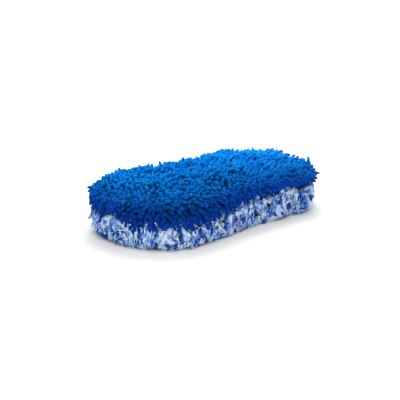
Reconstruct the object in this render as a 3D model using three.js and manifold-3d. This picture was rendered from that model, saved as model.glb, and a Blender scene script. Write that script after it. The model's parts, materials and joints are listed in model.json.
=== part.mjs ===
// A two-sided car wash mitt: a noodle-pile panel above, a plush-pile panel below, and a hand pocket
// between two thin foam pads. The pocket's mouth is a slit round the +X end. Its upper lip flexes up
// to let the hand in, and is made as a second set of pieces hinged across the mitt.
// Millimetres, +Z up, +X towards the mouth, origin at the centre of the underside.

import * as THREE from "three";
import { mergeVertices } from "three/addons/utils/BufferGeometryUtils.js";
import Module from "manifold-3d";

// Outer size, over the tips of the pile
const LENGTH = 255;
const WIDTH = 135;
const HEIGHT = 52;
const WAIST = 5; // how far each long side pulls in at the middle
const END_DEPTH = 60; // length of the half ellipse that rounds each end

// Heights of the stack, from the floor up
const BOTTOM_CLOTH_Z = 9;
const POCKET_FLOOR_Z = 17.4;
const POCKET_ROOF_Z = 25.4;
const TOP_CLOTH_Z = 37.8;

// Insets from the outer outline
const PLUSH_INSET = 6; // the plush stands out less than the noodles
const CLOTH_INSET = 14;
const POCKET_INSET = 20; // the pocket's wall: the overlocked inner edge of the side seam
const BINDING_WIDTH = 4;
const ELASTIC_WIDTH = 8;

// Thicknesses
const CLOTH = 1;
const LINING = 0.8;
const BINDING_HEIGHT = 3;
const ELASTIC = 1.4;
const OVERLOCK = 0.8;
const GAP = 0.3; // kept between touching pieces

// Edge rounding
const NOODLE_ROUND = 13;
const PLUSH_ROUND = 8;
const CLOTH_ROUND = 4;
const FOAM_ROUND = 2.5;

// The mouth and the flexing lip
const LIP_X = 62; // the line that the lip flexes about, at the pocket's roof
const LIP_HALF_ANGLE = THREE.MathUtils.degToRad(15.5); // each side of the V that closes as the lip lifts
const MOUTH_X = LIP_X + 4; // the mouth's bindings and elastics start here
const TACK_LENGTH = 3;
const TACK_WIDTH = 9;

const CURVE_STEPS = 9;
const BEVEL_STEPS = 3;
const FAR = 400; // larger than the mitt, for cutting blocks

const wasm = await Module();
wasm.setup();

// ---------- solids ----------

function solidOf(geometry) {
  const bare = geometry.index ? geometry.toNonIndexed() : geometry.clone();
  bare.deleteAttribute("normal");
  bare.deleteAttribute("uv");
  const merged = mergeVertices(bare, 1e-3);
  return new wasm.Manifold(
    new wasm.Mesh({
      numProp: 3,
      vertProperties: merged.attributes.position.array,
      triVerts: new Uint32Array(merged.index.array),
    }),
  );
}

function geometryOf(solid) {
  const mesh = solid.getMesh();
  const positions = new Float32Array(mesh.numVert * 3);
  for (let i = 0; i < mesh.numVert; i++) {
    const start = i * mesh.numProp;
    positions.set(mesh.vertProperties.subarray(start, start + 3), i * 3);
  }
  const geometry = new THREE.BufferGeometry();
  geometry.setAttribute("position", new THREE.BufferAttribute(positions, 3));
  geometry.setIndex(new THREE.BufferAttribute(new Uint32Array(mesh.triVerts), 1));
  geometry.computeVertexNormals();
  return geometry;
}

// The mitt's outline seen from above, moved in by an inset: half ellipses at the ends, and long sides
// that pull in to a waist.
function outline(inset) {
  const endX = (LENGTH / 2) - END_DEPTH;
  const endDepth = END_DEPTH - inset;
  const half = WIDTH / 2 - inset;
  const waist = half - WAIST;
  const reach = endX / 2;
  const shape = new THREE.Shape();
  shape.moveTo(endX, -half);
  shape.absellipse(endX, 0, endDepth, half, -Math.PI / 2, Math.PI / 2, false);
  shape.bezierCurveTo(reach, half, reach, waist, 0, waist);
  shape.bezierCurveTo(-reach, waist, -reach, half, -endX, half);
  shape.absellipse(-endX, 0, endDepth, half, Math.PI / 2, (3 * Math.PI) / 2, false);
  shape.bezierCurveTo(-reach, -half, -reach, -waist, 0, -waist);
  shape.bezierCurveTo(reach, -waist, reach, -half, endX, -half);
  return shape;
}

// A slab of the outline from one height to another, with its long edges rounded if round is given.
function slab(inset, low, high, round = 0) {
  const geometry = new THREE.ExtrudeGeometry(outline(inset + round), {
    depth: high - low - 2 * round,
    curveSegments: CURVE_STEPS,
    bevelEnabled: round > 0,
    bevelThickness: round,
    bevelSize: round,
    bevelSegments: BEVEL_STEPS,
  });
  geometry.translate(0, 0, low + round);
  return solidOf(geometry);
}

function block(lowX, highX, lowZ, highZ, halfWidth = FAR) {
  const geometry = new THREE.BoxGeometry(highX - lowX, 2 * halfWidth, highZ - lowZ);
  geometry.translate((lowX + highX) / 2, 0, (lowZ + highZ) / 2);
  return solidOf(geometry);
}

const above = (z) => block(-FAR, FAR, z, FAR);
const below = (z) => block(-FAR, FAR, -FAR, z);

// A band along the outline between two insets, for the stretch beyond a given x.
function band(outerInset, innerInset, low, high, fromX) {
  const middle = slab(innerInset, low - 1, high + 1);
  return slab(outerInset, low, high).subtract(middle).intersect(block(fromX, FAR, low - 1, high + 1));
}

// Everything on one side of the slanted face that the lip closes against: side is -1 for the fixed
// part and 1 for the lip.
function besideFold(side) {
  const rise = FAR / 2;
  const lean = rise * Math.tan(LIP_HALF_ANGLE);
  const face = LIP_X + (side * GAP) / 2;
  const shape = new THREE.Shape();
  shape.moveTo(face, POCKET_ROOF_Z - GAP);
  shape.lineTo(face + side * lean, POCKET_ROOF_Z + rise);
  shape.lineTo(side * FAR, POCKET_ROOF_Z + rise);
  shape.lineTo(side * FAR, POCKET_ROOF_Z - GAP);
  shape.closePath();
  const geometry = new THREE.ExtrudeGeometry(shape, { depth: 2 * FAR, bevelEnabled: false });
  geometry.translate(0, 0, -FAR);
  geometry.rotateX(Math.PI / 2);
  return solidOf(geometry);
}

// ---------- materials ----------

function fabric(color, roughness) {
  return new THREE.MeshStandardMaterial({ color, roughness, metalness: 0 });
}

const noodleBlue = fabric(0x0a5fce, 0.85);
const plushMix = fabric(0xa9c2ea, 0.9);
const clothBlue = fabric(0x0b3f9e, 0.9);
const foamGrey = fabric(0x8d9096, 0.95);
const liningBlue = fabric(0x123a86, 0.85);
const bindingBlue = fabric(0x0c4cb4, 0.75);
const elasticWhite = fabric(0xd9dce2, 0.8);
const threadBlue = fabric(0x0a3a94, 0.6);

// ---------- pieces ----------

const mitt = new THREE.Group();

function add(name, solid, material) {
  const mesh = new THREE.Mesh(geometryOf(solid), material);
  mesh.name = name;
  mitt.add(mesh);
}

// Adds a piece of the upper half as its fixed part and the part on the lip.
function addFolding(name, solid, material) {
  add(`${name}_body`, solid.intersect(besideFold(-1)), material);
  add(`${name}_lip`, solid.intersect(besideFold(1)), material);
}

// A panel of pile: the outer slab, hollowed to go over the backing cloth.
function noodlePanel() {
  const outer = slab(0, POCKET_ROOF_Z - NOODLE_ROUND, HEIGHT, NOODLE_ROUND);
  const hollow = slab(CLOTH_INSET - GAP, 0, TOP_CLOTH_Z + GAP, CLOTH_ROUND);
  return outer.subtract(hollow).intersect(above(POCKET_ROOF_Z));
}

function plushPanel() {
  const outer = slab(PLUSH_INSET, 0, POCKET_FLOOR_Z + PLUSH_ROUND, PLUSH_ROUND);
  const hollow = slab(CLOTH_INSET - GAP, BOTTOM_CLOTH_Z - GAP, HEIGHT, CLOTH_ROUND);
  return outer.subtract(hollow).intersect(below(POCKET_FLOOR_Z));
}

// The backing cloth of a panel: a shallow tray. Round the mouth its rim stops short of the binding.
function topCloth() {
  const outer = slab(CLOTH_INSET, 0, TOP_CLOTH_Z, CLOTH_ROUND);
  const inner = slab(CLOTH_INSET + CLOTH, 0, TOP_CLOTH_Z - CLOTH, CLOTH_ROUND - CLOTH);
  const rim = block(MOUTH_X - GAP, FAR, 0, POCKET_ROOF_Z + BINDING_HEIGHT + GAP);
  return outer.subtract(inner).intersect(above(POCKET_ROOF_Z)).subtract(rim);
}

function bottomCloth() {
  const outer = slab(CLOTH_INSET, BOTTOM_CLOTH_Z, HEIGHT, CLOTH_ROUND);
  const inner = slab(CLOTH_INSET + CLOTH, BOTTOM_CLOTH_Z + CLOTH, HEIGHT, CLOTH_ROUND - CLOTH);
  const rim = block(MOUTH_X - GAP, FAR, POCKET_FLOOR_Z - BINDING_HEIGHT - GAP, FAR);
  return outer.subtract(inner).intersect(below(POCKET_FLOOR_Z)).subtract(rim);
}

const EDGE_INSET = CLOTH_INSET + CLOTH + GAP; // of the foam and lining, inside the cloth
const HEM_INSET = CLOTH_INSET + BINDING_WIDTH + GAP; // of the lining where it meets the binding
const CHANNEL_INSET = HEM_INSET + ELASTIC_WIDTH + 2 * GAP; // inner edge of the hem's channel in the foam

// The room that a binding and an elastic need round the mouth.
function hemRoom(low, high) {
  return band(0, CHANNEL_INSET, low, high, MOUTH_X - 2 * GAP);
}

function upperFoam() {
  const low = POCKET_ROOF_Z + LINING + GAP;
  const pad = slab(EDGE_INSET, low, TOP_CLOTH_Z - CLOTH - GAP, FOAM_ROUND);
  return pad.subtract(hemRoom(low - 1, POCKET_ROOF_Z + BINDING_HEIGHT + GAP));
}

function lowerFoam() {
  const high = POCKET_FLOOR_Z - LINING - GAP;
  const pad = slab(EDGE_INSET, BOTTOM_CLOTH_Z + CLOTH + GAP, high, FOAM_ROUND);
  return pad.subtract(hemRoom(POCKET_FLOOR_Z - BINDING_HEIGHT - GAP, high + 1));
}

// A sheet of pocket lining, cut back round the mouth to the inner edge of the binding.
function lining(low) {
  const trimmed = band(0, HEM_INSET, low - 1, low + LINING + 1, MOUTH_X - GAP);
  return slab(EDGE_INSET, low, low + LINING).subtract(trimmed);
}

const binding = (low) => band(CLOTH_INSET, CLOTH_INSET + BINDING_WIDTH, low, low + BINDING_HEIGHT, MOUTH_X);

const elastic = (low) => band(HEM_INSET + GAP, HEM_INSET + GAP + ELASTIC_WIDTH, low, low + ELASTIC, MOUTH_X);

// A strip of the seam that joins the two panels round the closed end and both long sides.
function seamStrip(outerInset, innerInset, low, high) {
  const middle = slab(innerInset, low - 1, high + 1);
  const sewn = block(-FAR, LIP_X - TACK_LENGTH, low - 1, high + 1);
  return slab(outerInset, low, high).subtract(middle).intersect(sewn);
}

const SEAM_Z = (POCKET_FLOOR_Z + POCKET_ROOF_Z) / 2;

// The edge of one panel, folded in and sewn to the other's.
function seamAllowance(low, high) {
  return seamStrip(PLUSH_INSET, POCKET_INSET - OVERLOCK - GAP, low + GAP / 2, high - GAP / 2);
}

// The stitches over the raw edges of both allowances.
function overlockThread() {
  return seamStrip(POCKET_INSET - OVERLOCK, POCKET_INSET, POCKET_FLOOR_Z + 2 * GAP, POCKET_ROOF_Z - 2 * GAP);
}

// A dense block of stitches that closes the seam at a corner of the mouth. side is -1 or 1 along Y.
function cornerTack(side) {
  const low = POCKET_FLOOR_Z + 2 * GAP;
  const high = POCKET_ROOF_Z - 2 * GAP;
  const geometry = new THREE.BoxGeometry(TACK_LENGTH - 2 * GAP, TACK_WIDTH, high - low);
  const middle = WIDTH / 2 - (PLUSH_INSET + POCKET_INSET) / 2;
  geometry.translate(LIP_X - TACK_LENGTH / 2, side * middle, (low + high) / 2);
  return solidOf(geometry);
}

add("plush_pile_panel", plushPanel(), plushMix);
add("bottom_backing_cloth", bottomCloth(), clothBlue);
add("lower_foam_pad", lowerFoam(), foamGrey);
add("lower_pocket_lining", lining(POCKET_FLOOR_Z - LINING), liningBlue);
add("lower_mouth_binding", binding(POCKET_FLOOR_Z - BINDING_HEIGHT), bindingBlue);
add("lower_wrist_elastic", elastic(POCKET_FLOOR_Z - LINING - GAP - ELASTIC), elasticWhite);

addFolding("noodle_pile_panel", noodlePanel(), noodleBlue);
addFolding("top_backing_cloth", topCloth(), clothBlue);
addFolding("upper_foam_pad", upperFoam(), foamGrey);
addFolding("upper_pocket_lining", lining(POCKET_ROOF_Z), liningBlue);
add("upper_mouth_binding", binding(POCKET_ROOF_Z), bindingBlue);
add("upper_wrist_elastic", elastic(POCKET_ROOF_Z + LINING + GAP), elasticWhite);

add("lower_seam_allowance", seamAllowance(POCKET_FLOOR_Z + GAP / 2, SEAM_Z), clothBlue);
add("upper_seam_allowance", seamAllowance(SEAM_Z, POCKET_ROOF_Z - GAP / 2), clothBlue);
add("overlock_thread", overlockThread(), threadBlue);
add("corner_tack_near", cornerTack(-1), threadBlue);
add("corner_tack_far", cornerTack(1), threadBlue);

export default mitt;
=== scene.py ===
"""A two-sided car wash mitt: noodle pile above, plush pile below, and a foam-padded hand pocket between.

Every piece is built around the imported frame, in metres. The pile is real geometry: each noodle and each
plush fibre is its own tapering tube, rooted on the backing cloth of its panel.
"""

import json
import math

import bmesh
import bpy
import numpy as np
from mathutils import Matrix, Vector


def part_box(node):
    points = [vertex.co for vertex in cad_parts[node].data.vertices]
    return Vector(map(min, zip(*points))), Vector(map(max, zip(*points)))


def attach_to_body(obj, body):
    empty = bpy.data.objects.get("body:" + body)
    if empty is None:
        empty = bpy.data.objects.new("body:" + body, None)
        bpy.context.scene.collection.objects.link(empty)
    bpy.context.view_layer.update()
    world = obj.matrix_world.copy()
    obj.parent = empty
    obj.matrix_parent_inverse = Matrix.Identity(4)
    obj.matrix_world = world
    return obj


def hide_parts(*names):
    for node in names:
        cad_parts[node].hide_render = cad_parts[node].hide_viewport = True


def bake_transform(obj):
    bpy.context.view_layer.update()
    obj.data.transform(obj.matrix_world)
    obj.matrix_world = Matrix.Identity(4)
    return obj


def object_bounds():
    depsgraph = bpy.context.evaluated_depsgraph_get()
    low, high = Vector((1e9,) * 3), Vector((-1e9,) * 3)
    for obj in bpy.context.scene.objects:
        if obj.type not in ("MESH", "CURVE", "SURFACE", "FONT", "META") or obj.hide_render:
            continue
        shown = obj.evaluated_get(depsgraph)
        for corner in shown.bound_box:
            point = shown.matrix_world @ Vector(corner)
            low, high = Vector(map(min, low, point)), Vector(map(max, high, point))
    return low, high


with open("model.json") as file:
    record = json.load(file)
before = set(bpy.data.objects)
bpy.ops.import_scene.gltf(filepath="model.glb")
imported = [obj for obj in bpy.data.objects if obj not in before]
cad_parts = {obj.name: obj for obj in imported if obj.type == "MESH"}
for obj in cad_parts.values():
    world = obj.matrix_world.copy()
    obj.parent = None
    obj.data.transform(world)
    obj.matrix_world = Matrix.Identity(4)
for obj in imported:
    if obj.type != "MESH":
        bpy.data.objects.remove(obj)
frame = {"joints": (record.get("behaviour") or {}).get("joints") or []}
CAD_LOW, CAD_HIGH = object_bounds()

# ---------- sizes from the frame ----------

MM = 0.001
LENGTH = CAD_HIGH.x - CAD_LOW.x
WIDTH = CAD_HIGH.y - CAD_LOW.y
HEIGHT = CAD_HIGH.z
END_DEPTH = 60 * MM  # length of the half ellipse that rounds each end
WAIST = 5 * MM  # how far each long side pulls in at the middle


def inset_of(node):
    """How far a node's outline lies inside the mitt's outer outline."""
    low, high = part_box(node)
    return (WIDTH - (high.y - low.y)) / 2


CLOTH_INSET = inset_of("bottom_backing_cloth")
FOAM_INSET = inset_of("lower_foam_pad")
PLUSH_INSET = inset_of("plush_pile_panel")
POCKET_INSET = inset_of("overlock_thread") + 0.8 * MM

BOTTOM_CLOTH_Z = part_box("bottom_backing_cloth")[0].z
POCKET_FLOOR_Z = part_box("lower_pocket_lining")[1].z
POCKET_ROOF_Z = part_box("upper_pocket_lining_body")[0].z
TOP_CLOTH_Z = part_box("top_backing_cloth_body")[1].z
LINING = POCKET_FLOOR_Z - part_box("lower_pocket_lining")[0].z

LIP = frame["joints"][0]
LIP_X = LIP["pos_m"][0]
MOUTH_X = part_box("upper_mouth_binding")[0].x

BODY = "mitt_body"

rng = np.random.default_rng(20)

# ---------- geometry helpers ----------


def unit(vectors):
    """The same vectors, each one long."""
    return vectors / np.maximum(np.linalg.norm(vectors, axis=-1, keepdims=True), 1e-12)


def smooth(t):
    t = np.clip(t, 0, 1)
    return t * t * (3 - 2 * t)


def outline(inset, per_end=40, per_side=30):
    """The mitt's outline seen from above, moved in by inset: a closed loop of points."""
    end_x = LENGTH / 2 - END_DEPTH
    half = WIDTH / 2 - inset
    angle = np.linspace(-math.pi / 2, math.pi / 2, per_end, endpoint=False)
    end = np.stack([end_x + (END_DEPTH - inset) * np.cos(angle), half * np.sin(angle)], 1)
    x = np.linspace(end_x, -end_x, per_side, endpoint=False)
    side = np.stack([x, half - WAIST * (1 - smooth(np.abs(x) / end_x))], 1)
    return np.concatenate([end, side, -end, -side])


def mouth_arc(inset, steps=60):
    """The stretch of the outline round the mouth, from the near side to the far side."""
    end_x = LENGTH / 2 - END_DEPTH
    half = WIDTH / 2 - inset
    angle = np.linspace(-math.pi / 2, math.pi / 2, steps)
    arc = np.stack([end_x + (END_DEPTH - inset) * np.cos(angle), half * np.sin(angle)], 1)
    return np.concatenate([[[MOUTH_X, -half]], arc, [[MOUTH_X, half]]])


def closed_arc(inset):
    """The sewn stretch of the outline: both long sides and the closed end."""
    loop = outline(inset)
    start = int(np.argmax(loop[:, 0] + loop[:, 1] * 1e-6))
    loop = np.roll(loop, -start, axis=0)
    return loop[loop[:, 0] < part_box("lower_seam_allowance")[1].x]


def mesh_object(name, points, *face_sets):
    """A smooth-shaded mesh from points and arrays of faces, one array for each number of corners."""
    mesh = bpy.data.meshes.new(name)
    loops = np.concatenate([f.ravel() for f in face_sets]).astype(np.int32)
    totals = np.concatenate([np.full(len(f), f.shape[1]) for f in face_sets])
    starts = np.concatenate([[0], np.cumsum(totals)[:-1]]).astype(np.int32)
    mesh.vertices.add(len(points))
    mesh.vertices.foreach_set("co", np.asarray(points, np.float32).ravel())
    mesh.loops.add(len(loops))
    mesh.loops.foreach_set("vertex_index", loops)
    mesh.polygons.add(len(totals))
    mesh.polygons.foreach_set("loop_start", starts)
    mesh.update(calc_edges=True)
    mesh.validate()
    mesh.shade_smooth()
    obj = bpy.data.objects.new(name, mesh)
    bpy.context.scene.collection.objects.link(obj)
    return obj


def apply_modifiers(obj):
    """Makes what the modifiers show the object's own mesh."""
    evaluated = obj.evaluated_get(bpy.context.evaluated_depsgraph_get())
    mesh = bpy.data.meshes.new_from_object(evaluated)
    obj.modifiers.clear()
    obj.data = mesh
    mesh.shade_smooth()


def ring_quads(rings, count):
    """The faces between neighbours in a stack of closed rings that have count points each."""
    ring = np.arange(count)
    following = (ring + 1) % count
    base = np.arange(rings - 1)[:, None] * count
    corners = [base + ring, base + following, base + count + following, base + count + ring]
    return np.stack(corners, -1).reshape(-1, 4)


def loft(name, loops, heights):
    """A closed solid through a stack of loops that all have the same number of points."""
    count = len(loops[0])
    rings = [np.column_stack([loop, np.full(count, z)]) for loop, z in zip(loops, heights)]
    points = np.concatenate(rings + [[rings[0].mean(0)], [rings[-1].mean(0)]])
    ring = np.arange(count)
    following = (ring + 1) % count
    last = (len(rings) - 1) * count
    low = np.stack([following, ring, np.full(count, len(points) - 2)], 1)
    high = np.stack([last + ring, last + following, np.full(count, len(points) - 1)], 1)
    return mesh_object(name, points, ring_quads(len(rings), count), np.concatenate([low, high]))


def pad_shape(name, inset, low, high, low_round, high_round, slope=1.0, steps=5):
    """A slab of the mitt's outline with its lower and upper edges rounded. slope is how many times
    wider than high the upper rounding is."""
    turn = np.linspace(0, math.pi / 2, steps)
    wide = high_round * slope
    centre = inset + 44 * MM
    profile = [(centre, low), (inset + low_round + 8 * MM, low)]
    profile += [(inset + low_round * (1 - math.sin(a)), low + low_round * (1 - math.cos(a))) for a in turn]
    profile += [(inset + wide * (1 - math.cos(a)), high - high_round * (1 - math.sin(a))) for a in turn]
    profile += [(inset + wide + 6 * MM, high), (centre, high)]
    return loft(name, [outline(i) for i, _ in profile], [z for _, z in profile])


def points_of(obj):
    co = np.zeros(len(obj.data.vertices) * 3, np.float32)
    obj.data.vertices.foreach_get("co", co)
    return co.reshape(-1, 3).astype(float)


def set_points(obj, points):
    obj.data.vertices.foreach_set("co", points.astype(np.float32).ravel())
    obj.data.update()


SWELL_STEPS = 20


def swell(obj, most):
    """Blows a padded shape up by cloth simulation, with no point moved further than most."""
    remesh = obj.modifiers.new("remesh", "REMESH")
    remesh.mode = "VOXEL"
    remesh.voxel_size = 4 * MM
    apply_modifiers(obj)
    before = points_of(obj)
    cloth = obj.modifiers.new("cloth", "CLOTH")
    cloth.settings.use_pressure = True
    cloth.settings.uniform_pressure_force = 4
    cloth.settings.effector_weights.gravity = 0
    for step in range(1, SWELL_STEPS + 1):
        bpy.context.scene.frame_set(step)
    apply_modifiers(obj)
    bpy.context.scene.frame_set(1)
    moved = points_of(obj) - before
    far = np.linalg.norm(moved, axis=1, keepdims=True)
    set_points(obj, before + moved * np.minimum(1, most / np.maximum(far, 1e-9)))


def keep_faces(obj, wanted):
    """Removes the faces of a mesh for which wanted(centre, normal) is false."""
    bm = bmesh.new()
    bm.from_mesh(obj.data)
    unwanted = [f for f in bm.faces if not wanted(f.calc_center_median(), f.normal)]
    bmesh.ops.delete(bm, geom=unwanted, context="FACES")
    bm.to_mesh(obj.data)
    bm.free()


def solidify(obj, thickness):
    solid = obj.modifiers.new("solidify", "SOLIDIFY")
    solid.thickness = thickness
    solid.offset = -1
    apply_modifiers(obj)


def sheet_shape(name, inset, z, rows=16):
    """A flat open sheet of the mitt's outline, meshed evenly enough to bend."""
    insets = np.linspace(inset, 58 * MM, rows)
    loops = [outline(i) for i in insets]
    count = len(loops[0])
    points = np.concatenate([np.column_stack([loop, np.full(count, z)]) for loop in loops])
    points = np.concatenate([points, [[0, 0, z]]])
    last = (rows - 1) * count
    ring = np.arange(count)
    middle = np.stack([last + ring, last + (ring + 1) % count, np.full(count, len(points) - 1)], 1)
    return mesh_object(name, points, ring_quads(rows, count), middle)


BAND_POWER = 5  # 2 would make a band's section an ellipse, and more makes it squarer


def band(name, arc_of, inset, width, low, high, steps=16):
    """A closed band of rounded section swept along an arc of the outline, with its two ends capped."""
    angle = np.linspace(0, 2 * math.pi, steps, endpoint=False)
    across, upward = np.cos(angle), np.sin(angle)
    squared = 1 / (np.abs(across) ** BAND_POWER + np.abs(upward) ** BAND_POWER) ** (1 / BAND_POWER)
    insets = inset + width / 2 + width / 2 * squared * across
    heights = (low + high) / 2 + (high - low) / 2 * squared * upward
    lines = [np.column_stack([arc_of(i), np.full(len(arc_of(i)), z)]) for i, z in zip(insets, heights)]
    along = len(lines[0])
    points = np.concatenate(lines)
    k = np.arange(steps)[:, None]
    following = (k + 1) % steps
    j = np.arange(along - 1)[None]
    quads = np.stack([k * along + j, following * along + j, following * along + j + 1, k * along + j + 1], -1)
    start = (np.arange(steps) * along)[::-1][None]
    end = (np.arange(steps) * along + along - 1)[None]
    return mesh_object(name, points, quads.reshape(-1, 4), start, end)


def tube(name, path, radius, sides=6):
    """A thread: a round tube along a path, closed at both ends."""
    tangent = unit(np.gradient(path, axis=0))
    side = unit(np.cross(tangent, [0.3, 0.2, 1]))
    up = np.cross(tangent, side)
    angle = np.linspace(0, 2 * math.pi, sides, endpoint=False)
    ring = side[:, None] * np.cos(angle)[:, None] + up[:, None] * np.sin(angle)[:, None]
    points = (path[:, None] + ring * radius).reshape(-1, 3)
    first = np.arange(sides)[::-1][None]
    last = first[:, ::-1] + (len(path) - 1) * sides
    return mesh_object(name, points, ring_quads(len(path), sides), first, last)


def distances(line):
    """How far along a line each of its points is."""
    return np.concatenate([[0], np.cumsum(np.linalg.norm(np.diff(line, axis=0), axis=1))])


def joined(name, parts):
    """Several meshes as one piece."""
    bpy.ops.object.select_all(action="DESELECT")
    for part in parts:
        part.select_set(True)
    bpy.context.view_layer.objects.active = parts[0]
    bpy.ops.object.join()
    parts[0].name = name
    parts[0].data.name = name
    return parts[0]


# ---------- scattering and growing fibres ----------


def surface_of(obj):
    """A mesh's points, their normals and its triangles."""
    mesh = obj.data
    mesh.calc_loop_triangles()
    triangles = np.zeros(len(mesh.loop_triangles) * 3, np.int32)
    mesh.loop_triangles.foreach_get("vertices", triangles)
    normals = np.zeros(len(mesh.vertices) * 3, np.float32)
    mesh.vertex_normals.foreach_get("vector", normals)
    return points_of(obj), normals.reshape(-1, 3).astype(float), triangles.reshape(-1, 3)


def scatter(surface, spacing, tries=7):
    """Random places on a surface, no two nearer than spacing, and the normals there."""
    points, normals, triangles = surface
    a, b, c = (points[triangles[:, k]] for k in range(3))
    area = np.linalg.norm(np.cross(b - a, c - a), axis=1) / 2
    count = int(area.sum() / spacing**2 * tries)
    chosen = rng.choice(len(triangles), count, p=area / area.sum())
    u, v = rng.random((2, count))
    flip = u + v > 1
    u, v = np.where(flip, 1 - u, u), np.where(flip, 1 - v, v)
    share = np.stack([1 - u - v, u, v], 1)[..., None]
    places = (points[triangles[chosen]] * share).sum(1)
    directions = unit((normals[triangles[chosen]] * share).sum(1))
    taken = {}
    kept = []
    cells = np.floor(places / spacing).astype(int)
    near = [(i, j, k) for i in (-1, 0, 1) for j in (-1, 0, 1) for k in (-1, 0, 1)]
    for index, (cell, place) in enumerate(zip(cells.tolist(), places)):
        x, y, z = cell
        others = [o for i, j, k in near for o in taken.get((x + i, y + j, z + k), ())]
        if others and (((places[others] - place) ** 2).sum(1) < spacing**2).any():
            continue
        taken.setdefault((x, y, z), []).append(index)
        kept.append(index)
    return places[kept], directions[kept]


def drift(places, scale, seed):
    """A smooth random vector at each place, which changes over about the distance scale."""
    waves = np.random.default_rng(seed)
    total = np.zeros_like(places)
    for _ in range(8):
        wave = waves.normal(size=3) / scale
        phase = waves.uniform(0, 2 * math.pi)
        total += waves.normal(size=3) * np.sin(places @ wave + phase)[:, None]
    return total / 2


def strand_lines(tips, start, end, lengths, steps):
    """The middle lines of fibres that leave their roots along start and reach their tips along end."""
    middle = (np.arange(steps - 1) + 0.5) / (steps - 1)
    bent = smooth(middle)[None, :, None]
    directions = unit(start[:, None] * (1 - bent) + end[:, None] * bent)
    travel = directions * (lengths / (steps - 1))[:, None, None]
    line = np.concatenate([np.zeros((len(tips), 1, 3)), np.cumsum(travel, axis=1)], 1)
    return line + (tips - line[:, -1])[:, None]


def strand_faces(count, steps, sides):
    """The faces of count fibres, each of steps rings and a point at its tip: sides, tips and feet."""
    base = (np.arange(count) * (steps * sides + 1))[:, None, None]
    quads = base + ring_quads(steps, sides)[None]
    j = np.arange(sides)[None, None]
    last = base + (steps - 1) * sides
    caps = np.stack(np.broadcast_arrays(last + j, last + (j + 1) % sides, base + steps * sides), -1)
    feet = base + j[..., ::-1]
    return quads.reshape(-1, 4), caps.reshape(-1, 3), feet.reshape(-1, sides)


def strands(
    name, tips, start, end, lengths, radii, profile, sides, settle, painted_light, lumps=0.0, curl=0.0, turns=1.0
):
    """One mesh of many tapering fibres.

    profile is the thickness at even steps from root to tip. settle(line, t) moves the fibres' lines where
    they would start or lie in the wrong place. lumps varies the thickness, and curl winds each fibre round
    its own line, by that distance at its middle."""
    count, steps = len(tips), len(profile)
    line = strand_lines(tips, start, end, lengths, steps)
    t = np.linspace(0, 1, steps)[None, :]
    tangent = unit(np.gradient(line, axis=1))
    side = unit(np.cross(tangent, unit(rng.normal(size=(count, 1, 3)))))
    up = np.cross(tangent, side)
    if curl:
        wind = 2 * math.pi * (turns * t + rng.random((count, 1)))
        reach = (curl * np.sin(math.pi * t))[..., None]
        line = line + reach * (side * np.cos(wind)[..., None] + up * np.sin(wind)[..., None])
    line = settle(line, t[..., None])
    angle = np.linspace(0, 2 * math.pi, sides, endpoint=False)
    ring = side[:, :, None] * np.cos(angle)[:, None] + up[:, :, None] * np.sin(angle)[:, None]
    thick = radii[:, None, None] * np.asarray(profile)[None, :, None]
    thick = thick * (1 + lumps * rng.normal(size=(count, steps, sides)))
    tube_points = line[:, :, None] + ring * thick[..., None]
    ends = line[:, -1] + tangent[:, -1] * (radii * profile[-1] * 0.7)[:, None]
    points = np.concatenate([tube_points.reshape(count, -1, 3), ends[:, None]], 1)
    obj = mesh_object(name, points.reshape(-1, 3), *strand_faces(count, steps, sides))
    height = np.concatenate([np.repeat(np.linspace(0, 1, steps), sides), [1.0]])
    write_attribute(obj, "along", np.tile(height, count))
    write_attribute(obj, "tone", np.repeat(rng.random(count), len(height)))
    # painted light: how much of its material's lit copy of the colours each fibre gets
    write_attribute(obj, "painted_light", np.repeat(painted_light, len(height)))
    return obj


def write_attribute(obj, name, values):
    """A number for each point of a mesh, for its material to read."""
    obj.data.attributes.new(name, "FLOAT", "POINT").data.foreach_set("value", values.astype(np.float32))


# ---------- materials ----------


def new_material(name, roughness, sheen=0.0, specular=0.08):
    material = bpy.data.materials.new(name)
    material.use_nodes = True
    shader = material.node_tree.nodes["Principled BSDF"]
    shader.inputs["Roughness"].default_value = roughness
    shader.inputs["Sheen Weight"].default_value = sheen
    shader.inputs["Sheen Roughness"].default_value = 0.5
    shader.inputs["Specular IOR Level"].default_value = specular
    return material, material.node_tree, shader


def node(tree, kind, **settings):
    """A new node. Each setting is the value of the input of that name, or else a property."""
    made = tree.nodes.new(kind)
    for key, value in settings.items():
        if key in made.inputs:
            made.inputs[key].default_value = value
        else:
            setattr(made, key, value)
    return made


def ramp(tree, source, stops):
    """A colour ramp fed by source. stops are pairs of place and colour."""
    made = tree.nodes.new("ShaderNodeValToRGB")
    elements = made.color_ramp.elements
    while len(elements) < len(stops):
        elements.new(0.5)
    for element, (place, colour) in zip(elements, stops):
        element.position = place
        element.color = (*colour, 1)
    tree.links.new(source, made.inputs["Fac"])
    return made.outputs["Color"]


def noise_of(tree, scale, detail=4.0):
    place = tree.nodes.new("ShaderNodeTexCoord")
    noise = node(tree, "ShaderNodeTexNoise", Scale=scale, Detail=detail)
    tree.links.new(place.outputs["Object"], noise.inputs["Vector"])
    return noise.outputs["Fac"]


def add_bump(tree, shader, height, distance):
    bump = node(tree, "ShaderNodeBump", Strength=1.0, Distance=distance)
    tree.links.new(height, bump.inputs["Height"])
    tree.links.new(bump.outputs["Normal"], shader.inputs["Normal"])


def mixed(tree, factor, first, second, blend_type="MIX"):
    """One colour blended into another by factor, which is a socket or a number."""
    made = node(tree, "ShaderNodeMix", data_type="RGBA", blend_type=blend_type)
    if isinstance(factor, float):
        made.inputs["Factor"].default_value = factor
    else:
        tree.links.new(factor, made.inputs["Factor"])
    first_colour, second_colour = made.inputs[6], made.inputs[7]
    tree.links.new(first, first_colour)
    tree.links.new(second, second_colour)
    return made.outputs[2]


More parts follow.
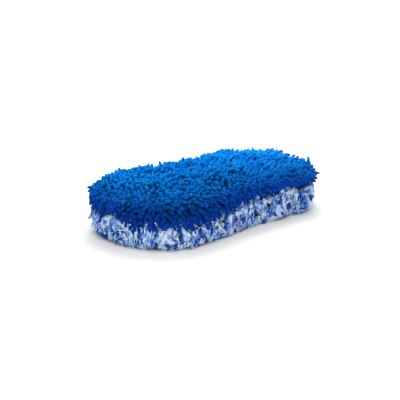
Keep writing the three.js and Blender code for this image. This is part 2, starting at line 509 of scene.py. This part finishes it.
def fibre_material(name, side, top, roughness, sheen, sheen_tint, fuzz_scale):
    """Pile: the colour runs from root to tip, and each strand and each patch of the panel differs a little.
    The darker roots are painted shade deep in the pile.

    side and top are the colours of root, body and tip of the strands at the edge and on the face: side is a
    copy darkened with painted shade, top a copy brightened with painted light, and a number on each strand
    mixes them."""
    material, tree, shader = new_material(name, roughness, sheen, 0.02)
    shader.inputs["Sheen Tint"].default_value = (*sheen_tint, 1)
    along = node(tree, "ShaderNodeAttribute", attribute_name="along").outputs["Fac"]
    # painted light: this number mixes the painted-shade colours (0) into the painted-light colours (1)
    painted_light = node(tree, "ShaderNodeAttribute", attribute_name="painted_light").outputs["Fac"]
    # the root colours are darker than the tips: painted shade deep in the pile
    ends = [ramp(tree, along, list(zip((0.0, 0.65, 1.0), colours))) for colours in (side, top)]
    colour = mixed(tree, painted_light, *ends)
    tone = node(tree, "ShaderNodeAttribute", attribute_name="tone")
    both = node(tree, "ShaderNodeMath", operation="ADD")
    tree.links.new(tone.outputs["Fac"], both.inputs[0])
    tree.links.new(noise_of(tree, 90), both.inputs[1])
    shade = ramp(tree, both.outputs[0], [(0.2, (0.75,) * 3), (1.0, (1.0,) * 3)])
    tree.links.new(mixed(tree, 1.0, colour, shade, "MULTIPLY"), shader.inputs["Base Color"])
    add_bump(tree, shader, noise_of(tree, fuzz_scale, 2.0), 0.25 * MM)
    return material


def cloth_material(name, dark, light, roughness, thread_size):
    """Woven or knitted cloth: crossing threads as bump, with a little colour between them."""
    material, tree, shader = new_material(name, roughness, 0.04)
    place = tree.nodes.new("ShaderNodeTexCoord")
    heights = []
    for direction in ("X", "Y"):
        wave = node(tree, "ShaderNodeTexWave", bands_direction=direction, Scale=0.31 / thread_size)
        wave.inputs["Distortion"].default_value = 0.6
        tree.links.new(place.outputs["Object"], wave.inputs["Vector"])
        heights.append(wave.outputs["Fac"])
    weave = node(tree, "ShaderNodeMath", operation="MAXIMUM")
    tree.links.new(heights[0], weave.inputs[0])
    tree.links.new(heights[1], weave.inputs[1])
    tree.links.new(ramp(tree, weave.outputs[0], [(0.3, dark), (0.9, light)]), shader.inputs["Base Color"])
    add_bump(tree, shader, weave.outputs[0], 0.2 * thread_size)
    return material


def foam_material():
    """Open-cell foam: small round pores, and a mottled grey."""
    material, tree, shader = new_material("open_cell_foam", 0.95)
    place = tree.nodes.new("ShaderNodeTexCoord")
    cells = node(tree, "ShaderNodeTexVoronoi", Scale=900.0)
    tree.links.new(place.outputs["Object"], cells.inputs["Vector"])
    stops = [(0.1, (0.12, 0.12, 0.13)), (0.5, (0.36, 0.37, 0.39))]
    tree.links.new(ramp(tree, cells.outputs["Distance"], stops), shader.inputs["Base Color"])
    add_bump(tree, shader, cells.outputs["Distance"], 0.5 * MM)
    return material


def ribbed_material(name, dark, light, rib):
    """Tape or elastic: close ribs across the band, and a soft sheen."""
    material, tree, shader = new_material(name, 0.65, 0.1)
    place = tree.nodes.new("ShaderNodeTexCoord")
    wave = node(tree, "ShaderNodeTexWave", bands_direction="DIAGONAL", Scale=0.31 / rib)
    tree.links.new(place.outputs["Object"], wave.inputs["Vector"])
    tree.links.new(ramp(tree, wave.outputs["Fac"], [(0.1, dark), (0.8, light)]), shader.inputs["Base Color"])
    add_bump(tree, shader, wave.outputs["Fac"], 0.2 * rib)
    return material


def plush_material(name, colours, sheen_tint):
    """colours are those of root, body and tip. The darker roots are painted shade deep in the pile."""
    return fibre_material(name, colours, colours, 0.8, 0.2, sheen_tint, 2500)


# Side colours: the blue darkened with painted shade for the edges. Top colours: brighter and greener, painted
# light for the face. The roots are darker still: painted shade deep in the pile.
NOODLE_BLUE = fibre_material(
    "noodle_microfibre",
    ((0.0, 0.002, 0.045), (0.001, 0.006, 0.13), (0.002, 0.017, 0.24)),
    ((0.0, 0.08, 0.41), (0.001, 0.13, 0.52), (0.002, 0.185, 0.57)),
    0.85, 0.35, (0.0, 0.6, 1.0), 1600,
)
# Each plush colour darkens towards the roots: painted shade deep in the pile. The white's bluish tint is
# painted reflection of the blue around it.
PLUSH_WHITE = plush_material(
    "plush_white_fibre", ((0.15, 0.35, 0.8), (0.6, 0.79, 0.99), (0.78, 0.9, 1.0)), (0.8, 0.9, 1.0)
)
PLUSH_PALE = plush_material(
    "plush_pale_blue_fibre", ((0.04, 0.12, 0.45), (0.12, 0.32, 0.76), (0.28, 0.5, 0.9)), (0.5, 0.7, 1.0)
)
PLUSH_ROYAL = plush_material(
    "plush_royal_blue_fibre", ((0.0, 0.01, 0.15), (0.0, 0.045, 0.38), (0.005, 0.1, 0.55)), (0.1, 0.4, 1.0)
)
BACKING = cloth_material("knitted_backing", (0.0, 0.03, 0.25), (0.003, 0.1, 0.5), 0.85, 1.1 * MM)
LINING_CLOTH = cloth_material("pocket_lining_cloth", (0.0, 0.008, 0.06), (0.003, 0.09, 0.42), 0.8, 1.9 * MM)
SEAM_CLOTH = cloth_material("seam_cloth", (0.0, 0.02, 0.14), (0.003, 0.08, 0.42), 0.85, 0.9 * MM)
FOAM = foam_material()
BINDING_TAPE = ribbed_material("binding_tape", (0.0, 0.02, 0.16), (0.003, 0.11, 0.55), 1.7 * MM)
ELASTIC_WEAVE = ribbed_material("elastic_weave", (0.4, 0.42, 0.46), (0.75, 0.77, 0.8), 1.2 * MM)
THREAD = ribbed_material("sewing_thread", (0.0, 0.04, 0.25), (0.01, 0.12, 0.5), 0.4 * MM)


# ---------- attaching ----------


def finish_piece(obj, material):
    obj.data.materials.clear()
    obj.data.materials.append(material)
    return obj


def on_body(obj):
    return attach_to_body(obj, BODY)


def across_fold(obj):
    """Bakes the piece's placing into its mesh, and leaves it attached to nothing."""
    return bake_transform(obj)


# ---------- the camera, the light and the floor ----------


def aim(obj, place, target):
    obj.location = place
    obj.rotation_euler = (Vector(target) - Vector(place)).to_track_quat("-Z", "Y").to_euler()
    bpy.context.scene.collection.objects.link(obj)


def area_light(name, place, target, size, power):
    light = bpy.data.lights.new(name, "AREA")
    light.shape = "DISK"
    light.size = size
    light.energy = power
    aim(bpy.data.objects.new(name, light), place, target)


def make_camera():
    """The camera, low over the near corner of the closed end."""
    azimuth, elevation = math.radians(-45), math.radians(14.85)
    distance = 0.577
    target = Vector((-0.0295, -0.0158, 0.0242))
    level = math.cos(elevation)
    back = Vector((math.sin(azimuth) * level, -math.cos(azimuth) * level, math.sin(elevation)))
    camera = bpy.data.cameras.new("camera")
    camera.lens = 55.4
    camera.sensor_width = 36
    obj = bpy.data.objects.new("camera", camera)
    aim(obj, target + back * distance, target)
    bpy.context.scene.camera = obj


def seen_and_lit(tree, seen, lit, output):
    """What the camera sees of something, and what the rest of the scene gets from it."""
    rays = tree.nodes.new("ShaderNodeLightPath")
    mix = tree.nodes.new("ShaderNodeMixShader")
    tree.links.new(rays.outputs["Is Camera Ray"], mix.inputs[0])
    tree.links.new(lit, mix.inputs[1])
    tree.links.new(seen, mix.inputs[2])
    tree.links.new(mix.outputs[0], tree.nodes[output].inputs["Surface"])


def make_floor():
    """A floor that fades into the white background, and takes soft shadows near the mitt."""
    bpy.ops.mesh.primitive_plane_add(size=200)
    floor = bpy.context.object
    floor.name = "floor"
    material, tree, shader = new_material("studio_floor", 0.9)
    shader.inputs["Base Color"].default_value = (0.69, 0.68, 0.66, 1)
    place = tree.nodes.new("ShaderNodeTexCoord")
    far = node(tree, "ShaderNodeVectorMath", operation="LENGTH")
    tree.links.new(place.outputs["Object"], far.inputs[0])
    fade = tree.nodes.new("ShaderNodeMapRange")
    tree.links.new(far.outputs["Value"], fade.inputs["Value"])
    fade.inputs["From Min"].default_value = 0.2
    fade.inputs["From Max"].default_value = 0.5
    white = node(tree, "ShaderNodeEmission", Color=(1, 1, 1, 1), Strength=1.2)
    seen = tree.nodes.new("ShaderNodeMixShader")
    tree.links.new(fade.outputs[0], seen.inputs[0])
    tree.links.new(shader.outputs[0], seen.inputs[1])
    tree.links.new(white.outputs[0], seen.inputs[2])
    lit = node(tree, "ShaderNodeBsdfDiffuse", Color=(0.85, 0.87, 0.92, 1))
    seen_and_lit(tree, seen.outputs[0], lit.outputs[0], "Material Output")
    floor.data.materials.append(material)


def make_sky():
    """A white background, and light that comes mostly from overhead."""
    world = bpy.data.worlds.new("studio")
    bpy.context.scene.world = world
    world.use_nodes = True
    tree = world.node_tree
    place = tree.nodes.new("ShaderNodeTexCoord")
    parts = tree.nodes.new("ShaderNodeSeparateXYZ")
    tree.links.new(place.outputs["Generated"], parts.inputs[0])
    strength = tree.nodes.new("ShaderNodeMapRange")
    tree.links.new(parts.outputs["Z"], strength.inputs["Value"])
    strength.inputs["To Min"].default_value = 0.4
    strength.inputs["To Max"].default_value = 1.4
    sky = tree.nodes["Background"]
    sky.inputs["Color"].default_value = (1, 1, 1, 1)
    tree.links.new(strength.outputs[0], sky.inputs["Strength"])
    white = node(tree, "ShaderNodeBackground", Color=(1, 1, 1, 1), Strength=1.2)
    seen_and_lit(tree, white.outputs[0], sky.outputs[0], "World Output")


def make_studio():
    """A pale floor, a white sky, and two soft lamps: over the mouth, and off the near closed corner."""
    make_floor()
    make_sky()
    area_light("mouth_light", (0.22, 0.22, 0.42), (0.07, 0.0, 0.03), 0.5, 4.0)
    area_light("key_light", (-0.42, -0.4, 0.4), (0.0, 0.0, 0.02), 0.3, 2.3)
    bpy.context.scene.view_settings.view_transform = "Standard"


# ---------- the pieces ----------


SHELL_INSET = CLOTH_INSET + 1 * MM


def make_top_cloth():
    cloth = pad_shape("top_cloth_shell", SHELL_INSET, POCKET_ROOF_Z, TOP_CLOTH_Z - 1 * MM, 1 * MM, 5 * MM)
    swell(cloth, 1.5 * MM)
    floor = POCKET_ROOF_Z + 1.2 * MM
    keep_faces(cloth, lambda centre, normal: centre.z > floor or normal.z > -0.5)
    return cloth


def make_bottom_cloth():
    low = BOTTOM_CLOTH_Z + 1 * MM
    cloth = pad_shape("bottom_cloth_shell", SHELL_INSET, low, POCKET_FLOOR_Z, 4 * MM, 1 * MM)
    swell(cloth, 1.5 * MM)
    roof = POCKET_FLOOR_Z - 1.2 * MM
    keep_faces(cloth, lambda centre, normal: centre.z < roof or normal.z < 0.5)
    return cloth


NOODLE_PROFILE = (0.85, 0.95, 1.0, 1.0, 1.0, 0.95, 0.66)
NOODLE_SIDES = 7
NOODLE_RADIUS = 1.62 * MM
NOODLE_LENGTH = 14.5 * MM
NOODLE_SPACING = 3.25 * MM
NOODLE_LOW = 14.5 * MM  # the lowest the noodles' tips hang over the plush
RIM_HEIGHT = 24 * MM  # how far up the sides the noodles follow the line between the two piles
LOWEST = np.array([-98 * MM, -57 * MM])  # the corner of the closed end where they hang lowest
RISE = 13 * MM  # how much higher they end far from that corner
RISE_DISTANCE = 115 * MM  # how far from it the whole rise is reached
WAVE = 2.5 * MM  # the size of the bumps in that line
NAP = np.array([-0.38, -0.55, 0])  # which way the noodles lean
NAP_AT_MOUTH = np.array([1.0, -0.35, 0])


def edge_rise(places):
    """How far the line between the two piles lies above its lowest height."""
    away = np.linalg.norm(places[:, :2] - LOWEST, axis=1)
    return RISE * smooth(away / RISE_DISTANCE)


def edge_wave(places):
    """The unevenness of that line along the edge, in units of WAVE."""
    return np.clip(drift(places * [1, 1, 0], 8 * MM, 7)[:, 0], -0.9, 1.3)


def envelope(name, inset, low, high, low_round, high_round, slope=1.0):
    """The surface that the tips of a pile make, with its places and normals for scattering."""
    shell = pad_shape(name, inset, low, high, low_round, high_round, slope, 10)
    surface = surface_of(shell)
    bpy.data.objects.remove(shell)
    return surface


def stray(count, share, reach):
    """How much further than the rest each strand reaches: a few stand out."""
    return np.where(rng.random(count) < share, rng.random(count) * reach, 0)


def noodle_roots(line, t):
    """The noodles are rooted no lower than the rim of the top cloth."""
    lack = np.maximum(POCKET_ROOF_Z + 1.5 * MM - line[:, :1, 2:], 0)
    line[..., 2:] += (1 - t) * lack
    return line


def noodle_tips():
    """Where the noodles' tips lie before any stands proud, and which way is outwards there."""
    surface = envelope("noodle_tips", 2 * MM, NOODLE_LOW, HEIGHT - 0.8 * MM, 5 * MM, 15 * MM, 2.3)
    tips, normals = scatter(surface, NOODLE_SPACING)
    outward = normals[:, 2] > -0.75
    tips, normals = tips[outward], normals[outward]
    rim = 1 - smooth((tips[:, 2] - NOODLE_LOW) / RIM_HEIGHT)
    tips[:, 2] += rim * (edge_rise(tips) + WAVE * edge_wave(tips))
    return tips, normals


def noodle_comb(tips, normals):
    """Which way the noodles lean: with the nap, less evenly in places, and never back into the mitt."""
    mouthward = smooth((tips[:, :1] + 15 * MM) / (50 * MM))
    comb = NAP + mouthward * (NAP_AT_MOUTH - NAP)
    comb += 0.2 * drift(tips, 22 * MM, 5)
    comb += 0.3 * drift(tips, 4.5 * MM, 6)
    comb[:, 1] += 0.55 * mouthward[:, 0] * drift(tips * [0.25, 1, 1], 4 * MM, 12)[:, 1]
    comb[:, 2] = 0
    return comb - normals * np.minimum((comb * normals).sum(1, keepdims=True), 0)


def noodle_proud(tips, normals):
    """How far each tip stands past the envelope. The face slopes down at the closed end."""
    count = len(tips)
    proud = 0.9 * MM * rng.normal(size=count)
    proud += stray(count, 0.07, 3 * MM)
    proud += 1.0 * MM * drift(tips, 9 * MM, 8)[:, 1]
    closed_end = smooth((-tips[:, 0] - 95 * MM) / (30 * MM))
    return proud - 5 * MM * closed_end * smooth(normals[:, 2])


def noodle_painted_light(tips):
    """How much painted light each noodle's colour gets: most on top, and more on the far side."""
    height = (tips[:, 2] - 16 * MM) / (HEIGHT - 16 * MM)
    across = smooth((tips[:, 1] + 50 * MM) / (90 * MM))
    return smooth(height) ** 4 * (0.6 + 0.4 * across)


def make_noodles():
    """The noodles of the top panel, packed side by side, combed about on top and hanging at the sides."""
    tips, normals = noodle_tips()
    count = len(tips)
    comb = noodle_comb(tips, normals)
    jitter = rng.normal(size=(count, 3))
    tips = tips + normals * noodle_proud(tips, normals)[:, None]
    start = unit(normals + 0.15 * jitter + [0, 0, 0.35])
    end = normals * [0.65, 0.65, 1] + comb + 0.25 * rng.normal(size=(count, 3))
    end[:, 2] -= 0.45 * (1 - smooth(normals[:, 2]))
    end = unit(end)
    lengths = NOODLE_LENGTH * rng.uniform(0.85, 1.15, count)
    radii = NOODLE_RADIUS * rng.uniform(0.82, 1.12, count)
    # painted light: the brighter blue given to the noodles on top and on the far side
    painted_light = noodle_painted_light(tips)
    on_top = normals[:, 2] > 0.93
    near = tips[:, 1] < 0
    groups = {
        "noodle_pile_top": on_top,
        "noodle_pile_near_edge": ~on_top & near,
        "noodle_pile_far_edge": ~on_top & ~near,
    }
    return [
        strands(
            name, tips[g], start[g], end[g], lengths[g], radii[g], NOODLE_PROFILE, NOODLE_SIDES,
            noodle_roots, painted_light[g], lumps=0.04,
        )
        for name, g in groups.items()
    ]


PLUSH_PROFILE = (1.0, 1.0, 0.9, 0.7, 0.35)
PLUSH_SIDES = 3
PLUSH_HIGH = 19.5 * MM
PLUSH_PROUD = 3 * MM  # how far the fine fibres stand out past the CAD solid's side
ROYAL_SHARE = 0.3
BLUE_SHARE = 0.46  # royal and pale blue together; the rest is white


def plush_roots(line, t):
    """The plush is rooted no higher than the seam, or the lower lip's edge, and lies on the floor."""
    mouth = smooth((line[:, :1, :1] - LIP_X) / (8 * MM))
    highest = POCKET_FLOOR_Z + 3.5 * MM * (1 - mouth) - 0.6 * MM * mouth
    line[..., 2:] -= (1 - t) * np.maximum(line[:, :1, 2:] - highest, 0)
    line[..., 2] = np.maximum(line[..., 2], 0.6 * MM)
    return line


def lumpy(centres, normals):
    """The places of the plush's locks, moved into soft lumps and up to where the noodles end."""
    upright = 1 - normals[:, 2:] ** 2
    mouth_end = smooth((centres[:, :1] - (LENGTH / 2 - 30 * MM)) / (25 * MM))
    lumps = 1.8 * MM * drift(centres, 8 * MM, 10)[:, :1] + 1.5 * MM * mouth_end
    centres = centres + normals * upright * lumps
    rise = 0.6 * edge_rise(centres) + WAVE * edge_wave(centres)
    centres[:, 2] += rise * smooth(centres[:, 2] / PLUSH_HIGH)
    return centres


def locks(shell, spread, per_lock, length, radius, wanted):
    """Fibres in locks that share a colour and a direction: their tips draw together.

    The last of the results puts the fibres in order of colour, as shares from royal blue to white."""
    surface = envelope("plush_tips", *shell)
    centres, normals = scatter(surface, spread)
    keep = wanted(centres, normals)
    centres, normals = centres[keep], normals[keep]
    centres = lumpy(centres, normals)
    streak = drift(centres * [1, 1, 0.4], 1.2 * MM, 9)[:, 0] + 0.25 * rng.normal(size=len(centres))
    flow = drift(centres, 6 * MM, 11) + 0.6 * rng.normal(size=(len(centres), 3))
    flow[:, 2] *= 2
    flow = unit(flow - normals * (flow * normals).sum(1, keepdims=True))
    each = (centres, normals, flow, streak)
    centres, normals, flow, streak = (np.repeat(values, per_lock, axis=0) for values in each)
    count = len(centres)
    tips = centres + rng.normal(size=(count, 3)) * 0.6 * MM + normals * stray(count, 0.025, 4 * MM)[:, None]
    start = unit(normals + 0.35 * rng.normal(size=(count, 3)))
    end = unit(0.4 * normals + flow + 0.2 * rng.normal(size=(count, 3)))
    lengths = length * rng.uniform(0.8, 1.15, count)
    radii = radius * rng.uniform(0.7, 1.25, count)
    streak = streak + 0.06 * rng.normal(size=count)
    return tips, start, end, lengths, radii, np.argsort(np.argsort(streak)) / count


def on_side(places, normals):
    return (normals[:, 2] > -0.85) & (normals[:, 2] < 0.9)


def on_underside(places, normals):
    return normals[:, 2] <= -0.85


def at_seam(places, normals):
    return (abs(normals[:, 2]) < 0.5) & (places[:, 0] < MOUTH_X)


def make_plush():
    """The plush: white fibres with royal and pale blue ones among them."""
    made = []
    outer = (PLUSH_INSET - PLUSH_PROUD, 0.8 * MM, PLUSH_HIGH, 8 * MM, 7 * MM)
    inner = (PLUSH_INSET + 2 * MM, 8 * MM, POCKET_ROOF_Z + 1 * MM, 2 * MM, 2 * MM)
    parts = {
        "side": (outer, 2.4 * MM, 11, 12 * MM, 0.39 * MM, on_side),
        "underside": (outer, 3.2 * MM, 5, 9 * MM, 0.6 * MM, on_underside),
        "seam": (inner, 2.7 * MM, 7, 9 * MM, 0.6 * MM, at_seam),
    }
    for part, settings in parts.items():
        tips, start, end, lengths, radii, order = locks(*settings)
        near = tips[:, 1] < 0
        white = order >= BLUE_SHARE
        groups = {
            f"plush_{part}_royal": (order < ROYAL_SHARE, PLUSH_ROYAL),
            f"plush_{part}_pale": ((order >= ROYAL_SHARE) & ~white, PLUSH_PALE),
            f"plush_{part}_white_near": (white & near, PLUSH_WHITE),
            f"plush_{part}_white_far": (white & ~near, PLUSH_WHITE),
        }
        for name, (g, material) in groups.items():
            piece = strands(
                name, tips[g], start[g], end[g], lengths[g], radii[g], PLUSH_PROFILE, PLUSH_SIDES,
                plush_roots, np.zeros(g.sum()), curl=1.0 * MM, turns=0.9,
            )
            made.append(finish_piece(piece, material))
    return made


def make_foam(name, low, high):
    foam = pad_shape(name, FOAM_INSET + 1 * MM, low, high, 2.5 * MM, 2.5 * MM)
    swell(foam, 0.6 * MM)
    return finish_piece(foam, FOAM)


SHEET_INSET = FOAM_INSET + 0.5 * MM


def make_lining(name, z, ruck):
    """The lining lies on its foam, and rucks up from it into the pocket by as much as ruck."""
    sheet = sheet_shape(name, SHEET_INSET, z)
    points = points_of(sheet)
    points[:, 2] += ruck * np.clip(0.5 + 0.5 * drift(points, 9 * MM, 3)[:, 2], 0, 1)
    set_points(sheet, points)
    solidify(sheet, LINING * 0.6)
    return finish_piece(sheet, LINING_CLOTH)


def make_overlock(name):
    """Thread that zigzags over the raw edges of both seam allowances."""
    line = closed_arc(POCKET_INSET - 0.4 * MM)
    length = distances(line)
    stitches = int(length[-1] / (2.4 * MM))
    places = np.linspace(0, length[-1], stitches * 6)
    x, y = (np.interp(places, length, line[:, k]) for k in (0, 1))
    low, high = POCKET_FLOOR_Z + 0.7 * MM, POCKET_ROOF_Z - 0.7 * MM
    swing = np.sin(np.arange(len(places)) * math.pi / 3)
    z = (low + high) / 2 + (high - low) / 2 * swing
    return tube(name, np.stack([x, y, z], 1), 0.35 * MM)


def make_tack(node_name):
    """A bar tack: thread wound to and fro across the corner of the mouth."""
    low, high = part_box(node_name)
    turns = 9
    t = np.linspace(0, 1, turns * 8)
    y = low.y + (high.y - low.y) * t
    z = (low.z + high.z) / 2 + (high.z - low.z) / 2 * 0.92 * np.cos(t * turns * 2 * math.pi)
    x = (low.x + high.x) / 2 + (high.x - low.x) / 2 * 0.8 * np.sin(t * turns * 2 * math.pi)
    return tube(node_name + "_stitches", np.stack([x, y, z], 1), 0.42 * MM)


def make_stitches(name, inset, z):
    """A row of lockstitches round the mouth, each a short arched thread."""
    line = mouth_arc(inset, 200)
    length = distances(line)
    pitch, stitch = 3.0 * MM, 2.3 * MM
    parts = []
    for k in range(int(length[-1] / pitch)):
        places = k * pitch + np.linspace(0, stitch, 7)
        x, y = (np.interp(places, length, line[:, axis]) for axis in (0, 1))
        arch = 0.12 * MM * np.sin(np.linspace(0, math.pi, 7))
        parts.append(tube(f"{name}_{k}", np.stack([x, y, z + arch], 1), 0.22 * MM))
    return joined(name, parts)


def build_top_panel():
    cloth = make_top_cloth()
    noodles = make_noodles()
    for piece in noodles:
        across_fold(finish_piece(piece, NOODLE_BLUE))
    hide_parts("noodle_pile_panel_body", "noodle_pile_panel_lip")
    solidify(cloth, 0.8 * MM)
    across_fold(finish_piece(cloth, BACKING))
    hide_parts("top_backing_cloth_body", "top_backing_cloth_lip")
    low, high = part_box("upper_foam_pad_body")
    foam = across_fold(make_foam("upper_foam_cut", low.z, high.z - 1.5 * MM))
    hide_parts("upper_foam_pad_body", "upper_foam_pad_lip")
    return foam


def build_bottom_panel():
    cloth = make_bottom_cloth()
    plush = make_plush()
    for piece in plush:
        on_body(piece)
    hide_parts("plush_pile_panel")
    solidify(cloth, 0.8 * MM)
    on_body(finish_piece(cloth, BACKING))
    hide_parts("bottom_backing_cloth")
    low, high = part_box("lower_foam_pad")
    foam = on_body(make_foam("lower_foam_cut", low.z + 1.5 * MM, high.z))
    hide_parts("lower_foam_pad")
    return foam


def build_mouth(half, attach, face):
    """The binding, the elastic and the row of stitches of one half of the mouth."""
    low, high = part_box(f"{half}_mouth_binding")
    tape = band(f"{half}_mouth_binding_tape", mouth_arc, CLOTH_INSET, 4 * MM, low.z, high.z)
    attach(finish_piece(tape, BINDING_TAPE))
    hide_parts(f"{half}_mouth_binding")
    low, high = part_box(f"{half}_wrist_elastic")
    inset = inset_of(f"{half}_wrist_elastic")
    elastic = band(f"{half}_wrist_elastic_band", mouth_arc, inset, 8 * MM, low.z, high.z)
    attach(finish_piece(elastic, ELASTIC_WEAVE))
    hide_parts(f"{half}_wrist_elastic")
    row = make_stitches(f"{half}_mouth_stitches", CLOTH_INSET + 2.6 * MM, face)
    attach(finish_piece(row, THREAD))
    return [tape, elastic, row]


def build_pocket():
    upper = across_fold(make_lining("upper_lining_sheet", POCKET_ROOF_Z + LINING * 0.8, -0.7 * MM))
    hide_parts("upper_pocket_lining_body", "upper_pocket_lining_lip")
    lower = on_body(make_lining("lower_lining_sheet", POCKET_FLOOR_Z - LINING * 0.2, 0.7 * MM))
    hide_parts("lower_pocket_lining")
    lower_edge = build_mouth("lower", on_body, POCKET_FLOOR_Z)
    upper_edge = build_mouth("upper", across_fold, POCKET_ROOF_Z)


def build_seam():
    for half in ("lower", "upper"):
        low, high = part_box(f"{half}_seam_allowance")
        inset = CLOTH_INSET - 1 * MM
        strip = band(f"{half}_seam_allowance_strip", closed_arc, inset, 6.2 * MM, low.z, high.z)
        on_body(finish_piece(strip, SEAM_CLOTH))
        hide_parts(f"{half}_seam_allowance")
    overlock = on_body(finish_piece(make_overlock("overlock_loops"), THREAD))
    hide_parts("overlock_thread")
    for side in ("near", "far"):
        tack = on_body(finish_piece(make_tack(f"corner_tack_{side}"), THREAD))
        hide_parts(f"corner_tack_{side}")


make_camera()
make_studio()
upper_pad = build_top_panel()
lower_pad = build_bottom_panel()
build_pocket()
build_seam()
